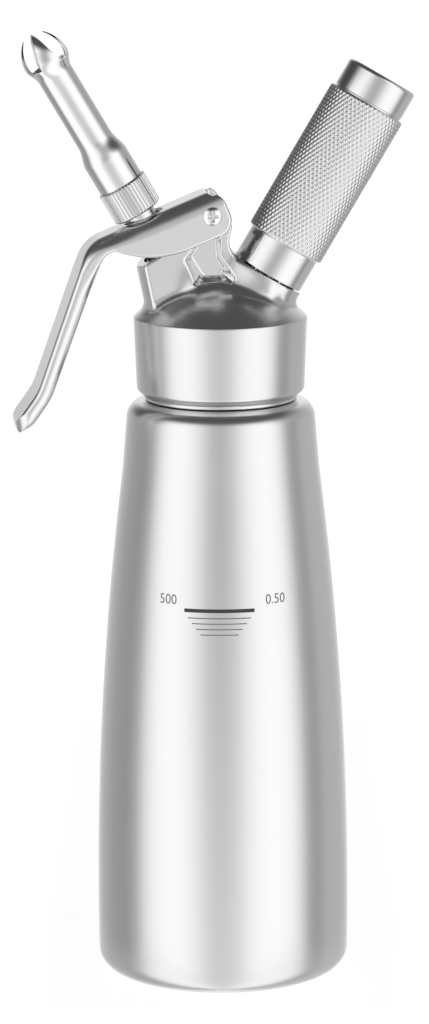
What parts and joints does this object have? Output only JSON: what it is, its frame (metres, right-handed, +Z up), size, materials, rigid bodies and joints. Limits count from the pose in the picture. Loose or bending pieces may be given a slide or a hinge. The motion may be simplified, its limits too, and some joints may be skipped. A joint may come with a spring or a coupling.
{
  "type": "whipped cream dispenser",
  "caption": "Stainless half-litre whipped cream dispenser: screw-on head with squeeze lever, sprung tilted valve with tulip nozzle, and knurled screw-on gas charger holder.",
  "frame": {"origin": "on the bottle's axis at the plane of its standing ring", "axes": "+Z up along the bottle, +X towards the gas charger holder, -X towards the nozzle and lever, -Y towards the side with the fill mark"},
  "size_m": [0.1255, 0.08, 0.3014],
  "materials": {
    "satin_steel": "fine satin brushing",
    "polished_steel": "polished",
    "bright_steel": "mirror polished",
    "cast_steel": "bead blasted casting",
    "spring_steel": "drawn wire",
    "plated_capsule": "zinc plated",
    "silicone": "matte silicone",
    "black_rubber": "matte"
  },
  "bodies": {
    "bottle_body": {"bottle": "satin_steel"},
    "gasket_ring": {"head_gasket": "silicone"},
    "head": {"head_body": "polished_steel", "pivot_barrel": "polished_steel", "pivot_screw": "polished_steel", "valve_spring": "spring_steel", "charger_seal": "silicone", "piercing_pin": "polished_steel", "inlet_valve_body": "polished_steel", "inlet_cap": "polished_steel", "check_spring": "spring_steel"},
    "lever_arm": {"lever": "cast_steel"},
    "valve": {"valve_stem": "polished_steel", "push_collar": "polished_steel", "stem_oring": "black_rubber", "valve_seal": "black_rubber"},
    "nozzle_seal": {"nozzle_gasket": "silicone"},
    "nozzle_unit": {"nozzle": "bright_steel", "nozzle_nut": "satin_steel"},
    "capsule": {"charger_capsule": "plated_capsule", "charger_cap": "plated_capsule"},
    "holder": {"charger_holder": "satin_steel"},
    "ball": {"check_ball": "polished_steel"}
  },
  "joints": [
    {"name": "head_rise", "type": "slide", "parent": "bottle_body", "child": "gasket_ring", "axis": [0, 0, 1], "range_m": [0, 0.00875]},
    {"name": "head_turn", "type": "hinge", "parent": "gasket_ring", "child": "head", "pos_m": [0, 0, 0.2], "axis": [0, 0, 1], "range_deg": [0, 900]},
    {"name": "lever_squeeze", "type": "hinge", "parent": "head", "child": "lever_arm", "pos_m": [-0.0035, 0, 0.2437], "axis": [0, -1, 0], "range_deg": [0, 12]},
    {"name": "valve_travel", "type": "slide", "parent": "head", "child": "valve", "axis": [0.506, 0, -0.8625], "range_m": [0, 0.0042], "stiffness_N_per_m": 400, "springref_m": -0.015, "deforming": ["valve_spring"]},
    {"name": "nozzle_rise", "type": "slide", "parent": "valve", "child": "nozzle_seal", "axis": [-0.506, 0, 0.8625], "range_m": [0, 0.006]},
    {"name": "nozzle_turn", "type": "hinge", "parent": "nozzle_seal", "child": "nozzle_unit", "pos_m": [-0.02576, 0, 0.2444], "axis": [-0.506, 0, 0.8625], "range_deg": [0, 1440]},
    {"name": "charger_feed", "type": "slide", "parent": "head", "child": "capsule", "axis": [0.5135, 0, 0.8581], "range_m": [0, 0.009]},
    {"name": "holder_turn", "type": "hinge", "parent": "capsule", "child": "holder", "pos_m": [0.01502, 0, 0.2242], "axis": [0.5135, 0, 0.8581], "range_deg": [0, 1620]},
    {"name": "check_lift", "type": "slide", "parent": "head", "child": "ball", "axis": [-0.5135, 0, -0.8581], "range_m": [0, 0.001], "stiffness_N_per_m": 120, "springref_m": -0.001, "deforming": ["check_spring"]}
  ],
  "couplings": [
    {"joint": "head_rise", "follows": "head_turn", "m_per_rad": 0.00055704},
    {"joint": "valve_travel", "follows": "lever_squeeze", "m_per_rad": 0.0196},
    {"joint": "nozzle_rise", "follows": "nozzle_turn", "m_per_rad": 0.00023873},
    {"joint": "charger_feed", "follows": "holder_turn", "m_per_rad": 0.00031831}
  ]
}
